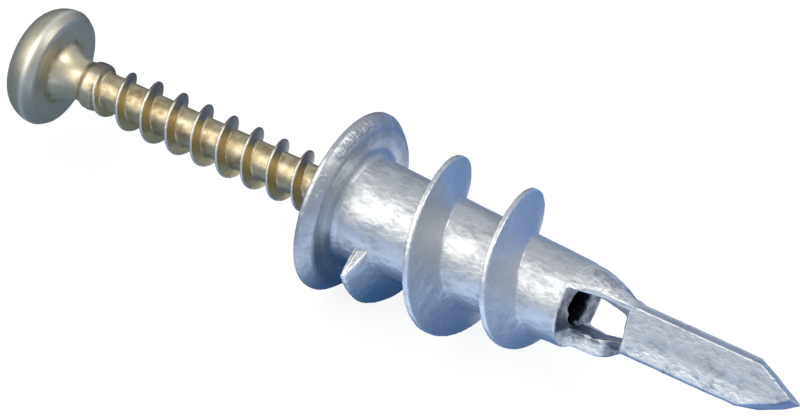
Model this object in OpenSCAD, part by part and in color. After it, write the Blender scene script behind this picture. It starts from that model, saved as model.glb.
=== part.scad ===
// Self-drilling metal anchor for plasterboard, with the pan head screw that comes with it.
// The anchor is one die casting. The screw is turned part of the way into its bore.
// The shared axis lies along +X, towards the drill point. The origin is the centre of the
// flange's bearing face, the face that is drawn up against the board.

/* [Flange] */
// Diameter of the flange
flange_d = 14.2; // [12:0.1:18]
// Thickness of the flange
flange_t = 1.35; // [1:0.05:2.5]
// Thickness left at the flange's thin rim
flange_rim_t = 0.45; // [0.3:0.05:0.8]
// Width of the sloping band between the rim and the bearing face
flange_slope_w = 0.8; // [0.3:0.05:1.2]
// Rounding of the rim's back corner
flange_edge_r = 0.15; // [0.05:0.05:0.3]

/* [Tube] */
// Diameter of the tube at the flange
tube_d = 8.1; // [7.6:0.1:9]
// Diameter of the tube at its end wall
tube_end_d = 6.76; // [6.4:0.02:7.4]
// Fillet between the tube and the flange
tube_fillet = 0.3; // [0.1:0.05:0.6]
// Length of the tube, from the bearing face to the outside of its end wall
tube_len = 19.5; // [19:0.1:26]
// Thickness of the end wall
end_wall_t = 1.2; // [0.8:0.1:2]
// Diameter of the hole in the end wall
end_hole_d = 3; // [2:0.1:3.4]
// Radial clearance between the screw's thread and the bore
bore_clearance = 0.2; // [0.1:0.05:0.3]

/* [Anchor recess] */
// Span of the cross recess in the flange, from tip to tip
recess_span = 6.4; // [5.6:0.1:7]
// Width of one slot of the cross
recess_w = 1.4; // [0.8:0.1:2]
// Depth of the cross, from the flange's back face
recess_depth = 3; // [1.5:0.1:5]

/* [Anchor thread] */
// Outer diameter of the coarse thread
coarse_d = 13.1; // [11:0.1:15]
// Advance of the coarse thread in one turn
coarse_pitch = 6.57; // [5.5:0.01:8]
// Distance from the bearing face to the start of the crest
coarse_start = 1.86; // [1.5:0.01:4]
// Degrees that the coarse thread turns through
coarse_turn = 885; // [720:5:960]
// Degrees over which its last stretch fades into the tube
coarse_fade = 240; // [90:5:360]
// Width of the crest
coarse_crest_w = 0.4; // [0.2:0.05:0.8]
// Width of the foot on the side towards the point, from the crest's middle
coarse_foot_w = 1.75; // [1:0.05:2.5]
// How far the flank towards the flange leans back where the thread starts
coarse_lean = 0.53; // [0.4:0.01:0.8]
// Share of the foot's width at the thread's start
coarse_start_foot = 0.7; // [0.4:0.05:1]
// Degrees over which the foot grows to its full width
coarse_grow = 180; // [60:10:360]
// Degrees over which the lean dies out
coarse_lean_turn = 90; // [45:5:180]
// Height over the axis of the flat where the thread starts
coarse_start_flat = 3.67; // [3:0.01:3.7]
// Degrees over which the flat gives way to the round
coarse_flat_turn = 120; // [90:5:180]

/* [Window and rails] */
// Length of the window between the end wall and the blade
window_len = 4.5; // [3:0.1:6]
// Distance from the axis to the inner face of each rail
rail_inner = 1.7; // [1.5:0.05:2]
// Ledge between that face and the window's edge
rail_ledge = 0.2; // [0.1:0.05:0.4]
// How much closer to the axis the rail's inner face is where the blade starts
rail_narrowing = 0.4; // [0:0.05:0.6]
// Radius of the sloping rail half way along the window
rail_h = 2.85; // [2.4:0.05:3.2]
// Radius of the blunt rail
low_rail_h = 3; // [2.6:0.05:3.1]
// Height of the blunt rail's flat top over the blade's face
low_rail_rise = 0.1; // [0.05:0.05:1.2]
// Length of the dip across the blunt rail before the blade
dip_len = 1.3; // [0.8:0.1:2]
// Depth of that dip under the blade's face
dip_depth = 0.5; // [0.2:0.05:0.6]
// Height of the other rail's top over the middle of the blade, at the end wall
ramp_top = 2.85; // [2.5:0.05:3.2]
// Slope of that top, down to the blade, from the axis
ramp_angle = 22.5; // [20:0.5:60]

/* [Blade] */
// Width of the blade
blade_w = 3.95; // [3.4:0.05:4.6]
// Thickness of the blade
blade_t = 1.6; // [1.2:0.05:2.2]
// Length of the blade's straight part, from the window to the shoulders
blade_len = 11.5; // [6:0.1:16]
// Length of the point, from the shoulders to its tip
point_len = 3.7; // [3:0.1:6]
// How far the relief ground on the front of the point runs back
front_relief = 0.7; // [0.2:0.05:1.1]
// How far the relief ground on the back of the point runs back
back_relief = 0.45; // [0.2:0.05:1.1]
// Chamfer along the blade's trailing edge
blade_chamfer = 0.3; // [0.1:0.05:0.6]
// Depth to which each face is cut from the blank, so that all faces are cut in one plane
blade_skin = 0.3; // [0.1:0.05:0.5]

/* [Screw] */
// Outer diameter of the screw's thread
screw_d = 4.5; // [3.5:0.1:5]
// Diameter of the screw's core
screw_core_d = 2.8; // [2:0.1:3.2]
// Advance of the screw in one turn
screw_pitch = 2.3; // [1.8:0.05:2.6]
// Width of the foot of its thread
screw_foot_w = 1.05; // [0.4:0.05:1.2]
// Distance from the end of the neck to the thread's start
screw_thread_gap = 0.05; // [0.05:0.05:1]
// Share of the thread's height that is there at its start
screw_start_share = 0.15; // [0.05:0.05:0.5]
// Degrees over which the thread grows to its full height
screw_grow = 360; // [180:10:720]
// Length of the screw under its head
screw_len = 35; // [30:0.5:45]
// Length of the screw's tapered point
screw_point_len = 4; // [3:0.1:6]
// Length of screw that stands out between its head and the flange
screw_out = 25.85; // [16:0.05:26]
// Radius left at the screw's tip
screw_tip_r = 0.07; // [0.05:0.01:0.2]
// Where the screw's thread starts, in degrees round its axis
screw_turned = 240; // [0:1:359]

/* [Screw head] */
// Diameter of the pan head
head_d = 9.2; // [8:0.1:11]
// Height of the pan head
head_h = 2.9; // [2.4:0.1:3.6]
// Radius of the head's upper edge
head_round = 1.6; // [0.8:0.1:1.8]
// Radius of the head's lower edge
head_edge_r = 0.4; // [0.2:0.05:0.6]
// Diameter of the neck where it meets the head
neck_d = 4.2; // [3.6:0.1:5]
// Length of the neck's taper down to the core
neck_len = 2.1; // [1:0.1:3]
// Span of the cross recess in the head
drive_span = 4.4; // [3.4:0.1:5]
// Width of one slot of that cross
drive_w = 1; // [0.7:0.05:1.4]
// Depth of that cross
drive_depth = 2; // [1.4:0.1:2.2]

/* [Lying] */
// Turn of the whole part about its own axis as it lies on a table, in degrees
lie_turn = 153; // [0:1:359]

/* [Hidden] */
bore_d = screw_d + 2 * bore_clearance;
blade_z = tube_len + window_len;
shoulder_z = blade_z + blade_len;
tip_z = shoulder_z + point_len;
head_z = -flange_t - screw_out;
reach = 40;
bite = 0.02;
gap = 0.1;
anchor_steps = 36;
screw_steps = 24;

// Radius of the tube at a height, from the flange to the end wall
function tube_r(z) = (tube_d + (tube_end_d - tube_d) * z / tube_len) / 2;

// Smooth step from 0 to 1 as x goes from 0 to 1
function ease(x) = (1 - cos(180 * min(max(x, 0), 1))) / 2;

// Points of an arc about a centre, in the plane
function arc(centre, r, from, to, steps) =
    [for (i = [0:steps]) let (a = from + (to - from) * i / steps) centre + r * [cos(a), sin(a)]];

// Lays the part down: its own axis, built upright, goes along +X
module lay_down() {
    rotate([0, 90, 0]) rotate([0, 0, lie_turn]) children();
}

// A shaft with a thread wound round it, as one closed surface. below and above are the plain rings
// at its two ends, as [height, radius] points going up. strip is a function of the degrees turned,
// and gives one pitch of the surface there as [radius, height, lead] points: first the plain shaft,
// then the thread from its lower foot to its upper foot. lead moves a point on, in degrees.
module threaded_shaft(strip, start_z, turns, pitch, steps, below, above) {
    last = round(turns * steps);
    count = len(strip(0));
    rings = len(below);
    turn = 360 / steps;
    winding = [
        for (i = [0:last], p = strip(i * turn))
            let (a = i * turn + p[2])
                [p[0] * cos(a), p[0] * sin(a), start_z + pitch * a / 360 + p[1]]
    ];
    top_edge = [
        for (i = [last - steps + 1:last])
            let (a = i * turn, r = strip(a)[count - 1][0])
                [r * cos(a), r * sin(a), start_z + pitch * (a / 360 + 1)]
    ];
    plain = [
        for (ring = concat(below, above), k = [0:steps - 1])
            let (a = k * turn) [ring[1] * cos(a), ring[1] * sin(a), ring[0]]
    ];
    top_0 = (last + 1) * count;
    plain_0 = top_0 + steps;
    shift = last % steps;
    at = function (i, j) i * count + j;
    up = function (i) i + steps <= last ? at(i + steps, 0) : top_0 + i - last + steps - 1;
    ring = function (n, k) plain_0 + n * steps + (k % steps);
    band = [
        for (i = [0:last - 1], j = [0:count - 1])
            let (
                a = at(i, j),
                b = at(i + 1, j),
                c = j < count - 1 ? at(i + 1, j + 1) : up(i + 1),
                d = j < count - 1 ? at(i, j + 1) : up(i)
            )
                each [[a, c, b], [a, d, c]]
    ];
    thread_start = [for (j = [count - 1:-1:1]) at(0, j)];
    thread_end = [for (j = [1:count - 1]) at(last, j)];
    low = rings - 1;
    low_skirt = [for (i = [0:steps - 2]) [ring(low, i), at(i, 0), at(i + 1, 0), ring(low, i + 1)]];
    low_close = [
        ring(low, steps - 1), at(steps - 1, 0), up(0), at(0, count - 1), at(0, 1), at(0, 0), ring(low, 0)
    ];
    high = rings;
    high_skirt = [
        for (i = [last - steps + 1:last - 1]) [up(i), ring(high, i), ring(high, i + 1), up(i + 1)]
    ];
    high_close = [
        ring(high, shift + 1), up(last - steps + 1), at(last, 0), at(last, 1), at(last, count - 1),
        up(last), ring(high, shift)
    ];
    tubes = [
        for (n = [0:rings + len(above) - 2], k = [0:steps - 1])
            if (n != low) [ring(n, k), ring(n + 1, k), ring(n + 1, k + 1), ring(n, k + 1)]
    ];
    foot_cap = [for (k = [0:steps - 1]) ring(0, k)];
    head_cap = [for (k = [steps - 1:-1:0]) ring(rings + len(above) - 1, k)];
    polyhedron(
        points = concat(winding, top_edge, plain),
        faces = concat(
            band, low_skirt, high_skirt, tubes,
            [thread_start, thread_end, low_close, high_close, foot_cap, head_cap]
        ),
        convexity = 10
    );
}

// The flange, turned as one profile
module flange() {
    rim = flange_d / 2;
    rotate_extrude($fn = 96)
        polygon(concat(
            [[0, -flange_t]],
            arc([rim - flange_edge_r, flange_edge_r - flange_t], flange_edge_r, -90, 0, 3),
            [
                [rim, flange_rim_t - flange_t],
                [rim - flange_slope_w, 0],
                [0, 0],
            ]
        ));
}

// The tapered tube with the coarse thread. The thread begins at a flat, in a plane along the axis.
module threaded_tube() {
    tall = coarse_d / 2;
    half = coarse_crest_w / 2;
    first_r = tube_r(coarse_start);
    flat_a = asin(coarse_start_flat / first_r);
    lowest = coarse_start - half - gap;
    turns = coarse_turn / 360;
    strip = function (u)
        let (
            z = lowest + coarse_pitch * u / 360,
            shaft = function (dz) tube_r(z + dz),
            faded = ease((u - coarse_turn + coarse_fade) / coarse_fade),
            crest = tall + (shaft(0) + bite - tall) * faded,
            mid = (shaft(gap) + crest) / 2,
            grown = coarse_start_foot + (1 - coarse_start_foot) * min(1, u / coarse_grow),
            lean = coarse_lean * max(0, 1 - u / coarse_lean_turn),
            foot = half + gap + coarse_foot_w * grown,
            flat = max(0, 1 - u / coarse_flat_turn),
            lead = function (r) flat * (flat_a - asin(min(1, coarse_start_flat / r)))
        ) [
            [shaft(0), 0, 0],
            [shaft(gap + lean), gap + lean, 0],
            [crest, gap, lead(crest)],
            [crest, gap + 2 * half, lead(crest)],
            [mid, gap + half + foot / 2, lead(mid)],
            [shaft(foot), foot, 0],
        ];
    foot_r = tube_d / 2 + tube_fillet;
    above = tube_len + coarse_pitch;
    difference() {
        rotate([0, 0, 180 - flat_a])
            threaded_shaft(
                strip, lowest, turns, coarse_pitch, anchor_steps,
                [[-flange_t / 2, foot_r], [0, foot_r], [tube_fillet, tube_r(tube_fillet)]],
                [[above, tube_r(above)]]
            );
        translate([-reach / 2, -reach / 2, tube_len]) cube(reach);
    }
}

// The nose of metal round the window, before it is cut: its upper half runs down to the blade in a
// long slope, and its lower half keeps its width and ends bluntly
module nose() {
    end_r = tube_end_d / 2 - bite;
    blade_r = blade_w / 2;
    inside_r = blade_r - gap;
    wall_z = tube_len - end_wall_t;
    at = function (share) tube_len + share * window_len;
    upper = [[end_r, at(0)], [end_r - gap, at(0.3)], [rail_h, at(0.56)], [blade_r + 2 * gap, at(1)]];
    lower = [[end_r, at(0)], [low_rail_h, at(0.15)], [low_rail_h, at(0.65)], [blade_r + gap, at(1) - gap]];
    for (half = [[0, upper, at(1.2)], [-reach, lower, at(1) + gap]])
        intersection() {
            rotate_extrude($fn = 96)
                polygon(concat([[0, wall_z], [end_r, wall_z]], half[1], [[inside_r, half[2]], [0, half[2]]]));
            translate([half[0], -reach / 2, 0]) cube([reach, reach, reach]);
        }
}

// The blade before its faces are cut: its outline, the chamfers and the ground point
module blade_blank() {
    half_w = blade_w / 2;
    half_t = blade_t / 2;
    skin_t = half_t + blade_skin;
    skin_w = half_w - blade_chamfer - blade_skin;
    rise = atan2(half_w, point_len);
    difference() {
        translate([0, 0, tube_len])
            linear_extrude(height = tip_z - tube_len)
                polygon([
                    [-half_w, -skin_t],
                    [skin_w, -skin_t],
                    [half_w, blade_chamfer - half_t],
                    [half_w, skin_t],
                    [-skin_w, skin_t],
                    [-half_w, half_t - blade_chamfer],
                ]);
        translate([half_w, half_t, shoulder_z])
            rotate([0, -rise, 0])
                rotate([0, 0, -atan2(back_relief, blade_t)])
                    translate([0, -reach / 2, -reach / 2]) cube(reach);
        translate([-half_w, -half_t, shoulder_z])
            rotate([0, rise, 0])
                rotate([0, 0, -atan2(front_relief, blade_t)])
                    translate([-reach, -reach / 2, -reach / 2]) cube(reach);
    }
}

// What is cut away over one face of the blade, down to its plane: the room between the two rails,
// the slope down the upper rail, and the room over the blunt rail and in the dip at its end
module face_cut() {
    half_t = blade_t / 2;
    knee_z = tube_len + window_len / 2;
    narrow = rail_inner - rail_narrowing;
    slope_z = tube_len + (ramp_top - half_t) / tan(ramp_angle);
    low_top = half_t + low_rail_rise;
    translate([0, half_t, 0])
        rotate([90, 0, 0])
            translate([0, 0, -reach])
                linear_extrude(height = reach)
                    polygon([
                        [-rail_inner, tube_len],
                        [rail_inner, tube_len],
                        [rail_inner, reach],
                        [-narrow, reach],
                        [-narrow, blade_z],
                        [-rail_inner, knee_z],
                    ]);
    upper = [[half_t, slope_z], [ramp_top, tube_len]];
    lower = [
        [half_t, blade_z],
        [half_t - dip_depth, blade_z],
        [low_top, blade_z - dip_len],
        [low_top, tube_len],
    ];
    for (side = [[0, upper], [-reach, lower]])
        translate([side[0], 0, 0])
            rotate([90, 0, 90])
                linear_extrude(height = reach)
                    polygon(concat(side[1], [[reach, tube_len], [reach, reach], [half_t, reach]]));
}

// The window, through the blade's thickness. It narrows towards the blade.
module window() {
    half = rail_inner - rail_ledge;
    narrow = half - rail_narrowing;
    knee_z = tube_len + window_len / 2;
    rotate([90, 0, 0])
        linear_extrude(height = reach, center = true)
            polygon([
                [-half, tube_len],
                [half, tube_len],
                [half, knee_z],
                [narrow, blade_z],
                [-narrow, blade_z],
                [-half, knee_z],
            ]);
}

// The hollow of the tube: the bore, the hole in its end wall and the cross for the driver
module bore() {
    translate([0, 0, -flange_t - 1])
        cylinder(d = bore_d, h = flange_t + 1 + tube_len - end_wall_t, $fn = 64);
    translate([0, 0, tube_len - end_wall_t - 1])
        cylinder(d = end_hole_d, h = end_wall_t + 2, $fn = 48);
    for (a = [45, 135])
        rotate([0, 0, a])
            translate([-recess_span / 2, -recess_w / 2, -flange_t - 1])
                cube([recess_span, recess_w, recess_depth + 1]);
}

// The anchor: one casting
module anchor() {
    color("#c4c6ca")
        lay_down()
            difference() {
                union() {
                    flange();
                    threaded_tube();
                    difference() {
                        union() {
                            nose();
                            blade_blank();
                        }
                        face_cut();
                        rotate([0, 0, 180]) face_cut();
                        window();
                    }
                }
                bore();
            }
}

// The neck, core, thread and point of the screw, with the underside of its head at 0
module screw_shank() {
    core = screw_core_d / 2;
    crest = screw_d / 2;
    thread_z = neck_len + screw_thread_gap;
    turns = floor((screw_len - 2 * gap - thread_z - screw_pitch) * screw_steps / screw_pitch) / screw_steps;
    core_r = function (z) min(core, screw_tip_r + (core - screw_tip_r) * (screw_len - z) / screw_point_len);
    strip = function (u)
        let (
            z = thread_z + screw_pitch * u / 360,
            middle = z + gap + screw_foot_w / 2,
            left = min(1, (screw_len - middle) / screw_point_len),
            grown = screw_start_share + (1 - screw_start_share) * ease(u / screw_grow),
            rise = bite + (crest - core - bite) * grown * sqrt(left)
        ) [
            [core_r(z), 0, 0],
            [core_r(z + gap), gap, 0],
            [core_r(middle) + rise, middle - z, 0],
            [core_r(z + gap + screw_foot_w), gap + screw_foot_w, 0],
        ];
    threaded_shaft(
        strip, thread_z, turns, screw_pitch, screw_steps,
        [[-head_h / 4, neck_d / 2], [0, neck_d / 2], [neck_len, core]],
        [[screw_len, screw_tip_r]]
    );
}

// The screw: pan head with a cross recess, and the shank
module screw() {
    rim = head_d / 2;
    top = [rim - head_round, head_round - head_h];
    color("#b5a05c")
        lay_down()
            translate([0, 0, head_z])
                difference() {
                    union() {
                        rotate_extrude($fn = 96)
                            polygon(concat(
                                [[0, 0], [0, -head_h]],
                                arc(top, head_round, -90, 0, 8),
                                arc([rim - head_edge_r, -head_edge_r], head_edge_r, 0, 90, 4)
                            ));
                        rotate([0, 0, screw_turned]) screw_shank();
                    }
                    for (a = [0, 90])
                        rotate([0, 0, a])
                            translate([-drive_span / 2, -drive_w / 2, -head_h - 1])
                                cube([drive_span, drive_w, drive_depth + 1]);
                }
}

anchor();
screw();
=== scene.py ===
"""Metal plasterboard anchor with its pan head screw: the dressed model and its studio.

Shapes are built in millimetres in an axis frame: x runs along the shared axis towards the drill
point, a runs across the width of the blade and b through its thickness. They are turned into the
row frame, in metres, as the last step.
"""

import logging
import math
import random
from contextlib import contextmanager
from dataclasses import dataclass
from enum import Enum
from typing import Callable, Dict, Iterator, List, Optional, Sequence, Tuple, Union

import bmesh
import bpy
import numpy as np
from mathutils import Matrix, Vector, noise


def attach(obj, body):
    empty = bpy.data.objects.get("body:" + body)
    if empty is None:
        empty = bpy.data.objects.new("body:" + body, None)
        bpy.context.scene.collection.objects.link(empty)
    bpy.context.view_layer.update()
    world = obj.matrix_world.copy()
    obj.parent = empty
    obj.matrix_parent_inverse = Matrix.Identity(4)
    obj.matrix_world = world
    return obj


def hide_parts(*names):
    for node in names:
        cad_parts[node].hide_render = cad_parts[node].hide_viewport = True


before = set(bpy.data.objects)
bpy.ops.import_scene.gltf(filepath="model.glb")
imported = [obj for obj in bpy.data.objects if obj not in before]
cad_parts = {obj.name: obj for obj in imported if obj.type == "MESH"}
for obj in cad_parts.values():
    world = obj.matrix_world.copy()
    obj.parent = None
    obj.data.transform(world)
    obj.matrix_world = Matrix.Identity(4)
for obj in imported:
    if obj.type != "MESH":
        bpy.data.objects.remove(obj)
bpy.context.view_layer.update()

Object = bpy.types.Object
Mesh = bpy.types.Mesh
Material = bpy.types.Material
Tree = bpy.types.NodeTree
Points = Sequence[Sequence[float]]
Feed = Union["Flow", float, Sequence[float], None]

LOG = logging.getLogger("anchor")
MM = 0.001
LIE_ROLL = math.radians(63.0)
REACH = 30.0
EDGE_PASSES = 9
DRAWN_OUT = (0.55, 1.0, 1.0)
BLACK = (0.0, 0.0, 0.0, 1.0)
WHITE = (1.0, 1.0, 1.0, 1.0)


class Cut(Enum):
    """How two solids are combined."""

    JOIN = "UNION"
    REMOVE = "DIFFERENCE"


class Socket(Enum):
    """Socket types of a node group's interface."""

    FLOAT = "NodeSocketFloat"
    INT = "NodeSocketInt"
    VECTOR = "NodeSocketVector"
    GEOMETRY = "NodeSocketGeometry"
    MATERIAL = "NodeSocketMaterial"

    @classmethod
    def of(cls, value: Union["Socket", int, float]) -> "Socket":
        """The type that holds a value; a type stands for itself."""
        if isinstance(value, cls):
            return value
        return cls.INT if isinstance(value, int) else cls.FLOAT


# ------------------------ node helpers


class Flow:
    """What comes out of a node; sums and products of numbers add Math nodes."""

    def __init__(self, graph: "NodeGraph", socket: bpy.types.NodeSocket) -> None:
        """Holds an output socket of a graph."""
        self.graph = graph
        self.socket = socket

    def __add__(self, other: Feed) -> "Flow":
        """This plus another."""
        return self.graph.math("ADD", self, other)

    def __sub__(self, other: Feed) -> "Flow":
        """This less another."""
        return self.graph.math("SUBTRACT", self, other)

    def __rsub__(self, other: Feed) -> "Flow":
        """Another less this."""
        return self.graph.math("SUBTRACT", other, self)

    def __mul__(self, other: Feed) -> "Flow":
        """This times another."""
        return self.graph.math("MULTIPLY", self, other)

    def __truediv__(self, other: Feed) -> "Flow":
        """This over another."""
        return self.graph.math("DIVIDE", self, other)

    def __rtruediv__(self, other: Feed) -> "Flow":
        """Another over this."""
        return self.graph.math("DIVIDE", other, self)

    def scaled(self, factor: Feed, offset: Feed, clamp: bool = False) -> "Flow":
        """This times a factor, plus an offset."""
        return self.graph.math("MULTIPLY_ADD", self, factor, offset, clamp=clamp)

    def rest(self) -> "Flow":
        """What this number leaves of one, kept from 0 to 1."""
        return self.graph.math("SUBTRACT", 1.0, self, clamp=True)


class NodeGraph:
    """Short calls that fill a node tree."""

    def __init__(self, tree: Tree) -> None:
        """Starts on a node tree."""
        self.tree = tree

    def feed(self, target: bpy.types.NodeSocket, value: Feed) -> None:
        """Links a flow to an input, or sets the input's own value.

        Args:
            target: the input.
            value: what goes into it; None leaves it alone.
        """
        if isinstance(value, Flow):
            self.tree.links.new(value.socket, target)
        elif value is not None:
            target.default_value = value

    def node(self, kind: str, feeds: Optional[dict] = None, **settings: object) -> bpy.types.Node:
        """Adds a node.

        Args:
            kind: the node's bl_idname.
            feeds: what goes into its inputs, by their names or numbers.
            settings: properties set on the node.

        Returns:
            The new node.
        """
        node = self.tree.nodes.new(kind)
        for name, value in settings.items():
            setattr(node, name, value)
        for key, value in (feeds or {}).items():
            self.feed(node.inputs[key], value)
        return node

    def out(
        self,
        kind: str,
        feeds: Optional[dict] = None,
        output: Union[int, str] = 0,
        **settings: object,
    ) -> Flow:
        """Adds a node, as node does, and returns one of its outputs."""
        return Flow(self, self.node(kind, feeds, **settings).outputs[output])

    def group(self, tree: Tree, feeds: dict) -> Dict[str, Flow]:
        """Adds a shader node group and returns its outputs by name."""
        node = self.node("ShaderNodeGroup", feeds, node_tree=tree)
        return {item.name: Flow(self, item) for item in node.outputs}

    def parts(self, vector: Feed) -> List[Flow]:
        """Takes a vector apart into its three numbers."""
        return [Flow(self, n) for n in self.node("ShaderNodeSeparateXYZ", {0: vector}).outputs]

    def math(self, operation: str, *values: Feed, clamp: bool = False) -> Flow:
        """Adds a Math node and returns its result."""
        feeds = dict(enumerate(values))
        return self.out("ShaderNodeMath", feeds, operation=operation, use_clamp=clamp)

    def ramp(self, value: Feed, *ends: Feed, smooth: bool = False) -> Flow:
        """Maps a number from one range to another, kept inside it.

        Args:
            value: the number.
            ends: both ends of its range, and what they become where that isn't 0 and 1.
            smooth: eases both ends.

        Returns:
            The mapped number.
        """
        feeds = dict(enumerate((value, *ends)))
        easing = "SMOOTHSTEP" if smooth else "LINEAR"
        return self.out("ShaderNodeMapRange", feeds, clamp=True, interpolation_type=easing)

    def mix(self, factor: Feed, first: Feed, second: Feed) -> Flow:
        """Blends two colours and returns the result."""
        return self.out("ShaderNodeMix", {0: factor, 6: first, 7: second}, 2, data_type="RGBA")

    def blend(self, factor: Feed, first: Feed, second: Feed) -> Flow:
        """Blends two numbers and returns the result."""
        return self.out("ShaderNodeMix", {0: factor, 2: first, 3: second}, data_type="FLOAT")

    def attribute(self, name: str) -> Flow:
        """Reads a number that is stored on the mesh."""
        settings = {"attribute_type": "GEOMETRY", "attribute_name": name}
        return self.out("ShaderNodeAttribute", output="Fac", **settings)


class NodeGroup(NodeGraph):
    """A node group with named inputs and outputs."""

    def __init__(self, name: str, kind: str, inputs: dict, outputs: dict) -> None:
        """Makes the group and its interface.

        Args:
            name: the group's name.
            kind: GeometryNodeTree or ShaderNodeTree.
            inputs: each input's name, with its default number or its type.
            outputs: each output's name, with its type.
        """
        super().__init__(bpy.data.node_groups.new(name, kind))
        for way, sockets in (("INPUT", inputs), ("OUTPUT", outputs)):
            for label, value in sockets.items():
                settings = {"in_out": way, "socket_type": Socket.of(value).value}
                item = self.tree.interface.new_socket(label, **settings)
                if not isinstance(value, Socket):
                    item.default_value = value
        source = self.node("NodeGroupInput").outputs
        self.given = {label: Flow(self, source[label]) for label in inputs}
        self.results = self.node("NodeGroupOutput").inputs

    def give(self, **values: Flow) -> None:
        """Feeds the group's outputs, by name."""
        for name, value in values.items():
            self.feed(self.results[name], value)


# ------------------------ mesh helpers


def new_object(name: str, data: bpy.types.ID) -> Object:
    """Links a mesh, a lamp or a camera into the scene as a new object."""
    obj = bpy.data.objects.new(name, data)
    bpy.context.scene.collection.objects.link(obj)
    return obj


@contextmanager
def editing(mesh: Mesh) -> Iterator[bmesh.types.BMesh]:
    """Opens a mesh for editing and writes it back at the end.

    Args:
        mesh: the mesh.

    Yields:
        The editable mesh.
    """
    shape = bmesh.new()
    shape.from_mesh(mesh)
    yield shape
    shape.to_mesh(mesh)
    shape.free()


def solid_from(name: str, points: Points, faces: Sequence) -> Object:
    """Makes a closed solid with its faces turned outwards.

    Args:
        name: the object's name.
        points: its points.
        faces: its faces, as numbers of points.

    Returns:
        The new object.
    """
    mesh = bpy.data.meshes.new(name)
    mesh.from_pydata(points, [], faces)
    with editing(mesh) as shape:
        bmesh.ops.recalc_face_normals(shape, faces=shape.faces)
    return new_object(name, mesh)


def lathe(
    name: str,
    profile: Points,
    segments: int,
    uneven: Optional[Callable[[float], float]] = None,
) -> Object:
    """Turns a profile round the axis into a closed solid.

    Args:
        name: the object's name.
        profile: (x, radius) points; the first and the last lie on the axis.
        segments: number of steps round.
        uneven: gives a factor on the radius from the angle.

    Returns:
        The new object.
    """
    points = [(profile[0][0], 0.0, 0.0), (profile[-1][0], 0.0, 0.0)]
    angles = [2 * math.pi * k / segments for k in range(segments)]
    for x, radius in profile[1:-1]:
        for angle in angles:
            r = radius * (uneven(angle) if uneven else 1.0)
            points.append((x, r * math.cos(angle), r * math.sin(angle)))
    last = 2 + (len(profile) - 3) * segments
    faces = []
    for k in range(segments):
        j = (k + 1) % segments
        faces += [(0, 2 + j, 2 + k), (1, last + k, last + j)]
        for low in range(2, last, segments):
            faces.append((low + k, low + j, low + segments + j, low + segments + k))
    return solid_from(name, points, faces)


def prism(name: str, outline: Points, low: float, high: float, order: str = "xab") -> Object:
    """Extrudes an outline.

    Args:
        name: the object's name.
        outline: 2-D points of the outline.
        low: start of the extrusion.
        high: end of the extrusion.
        order: which axes the outline's two and the extrusion's are.

    Returns:
        The new object.
    """
    slots = [order.index(axis) for axis in "xab"]
    points = []
    for level in (low, high):
        for first, second in outline:
            values = (first, second, level)
            points.append(tuple(values[s] for s in slots))
    count = len(outline)
    faces = [tuple(range(count)), tuple(range(2 * count - 1, count - 1, -1))]
    for k in range(count):
        j = (k + 1) % count
        faces.append((k, j, count + j, count + k))
    return solid_from(name, points, faces)


def turned(obj: Object, degrees: float) -> Object:
    """Turns an object's mesh about the axis and returns the object."""
    obj.data.transform(Matrix.Rotation(math.radians(degrees), 4, "X"))
    return obj


def slice_off(obj: Object, point: Sequence[float], normal: Sequence[float]) -> Object:
    """Cuts away what lies beyond a plane and closes the cut.

    Args:
        obj: a closed solid.
        point: a point of the plane.
        normal: the way to the side that goes.

    Returns:
        The object.
    """
    with editing(obj.data) as shape:
        geometry = shape.verts[:] + shape.edges[:] + shape.faces[:]
        cut = bmesh.ops.bisect_plane(
            shape, geom=geometry, plane_co=point, plane_no=normal, clear_outer=True
        )
        edges = [item for item in cut["geom_cut"] if isinstance(item, bmesh.types.BMEdge)]
        bmesh.ops.contextual_create(shape, geom=edges)
        bmesh.ops.recalc_face_normals(shape, faces=shape.faces)
    return obj


def settle(obj: Object) -> Object:
    """Applies every modifier to the object's mesh and removes them.

    Args:
        obj: the object.

    Returns:
        The object.
    """
    graph = bpy.context.evaluated_depsgraph_get()
    mesh = bpy.data.meshes.new_from_object(obj.evaluated_get(graph), depsgraph=graph)
    obj.modifiers.clear()
    obj.data = mesh
    return obj


def combine(base: Object, tool: Object, how: Cut) -> Object:
    """Joins a second solid to the first, or takes it out of it, and deletes the second.

    Args:
        base: the solid that stays.
        tool: the second solid.
        how: join or remove.

    Returns:
        The first object.
    """
    modifier = base.modifiers.new("combine", "BOOLEAN")
    modifier.operation = how.value
    modifier.solver = "MANIFOLD"
    modifier.object = tool
    settle(base)
    bpy.data.objects.remove(tool)
    return base


def cut_cross(obj: Object, depth: tuple, span: float, width: float, angle: float) -> None:
    """Cuts a cross recess.

    Args:
        obj: the solid.
        depth: where the recess starts and ends along the axis.
        span: size of the cross from tip to tip.
        width: width of each slot.
        angle: how far the cross is turned, in degrees.
    """
    (start, floor), half = depth, span / 2
    outline = [(start, -half), (floor, -half), (floor, half), (start, half)]
    for turn in (angle, angle + 90):
        slot = prism("slot", outline, -width / 2, width / 2)
        combine(obj, turned(slot, turn), Cut.REMOVE)


def soften(obj: Object, voxel: float, passes: int) -> Object:
    """Rounds every edge a little, as a casting or a rolled thread has them.

    Args:
        obj: a closed solid.
        voxel: size of the grid that the surface is rebuilt on.
        passes: smoothing passes, which set how round the edges get.

    Returns:
        The object.
    """
    remesh = obj.modifiers.new("rebuild", "REMESH")
    remesh.mode = "VOXEL"
    remesh.voxel_size = voxel * 1.0
    smooth = obj.modifiers.new("smooth", "SMOOTH")
    smooth.factor = 0.5
    smooth.iterations = passes
    return settle(obj)


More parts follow.
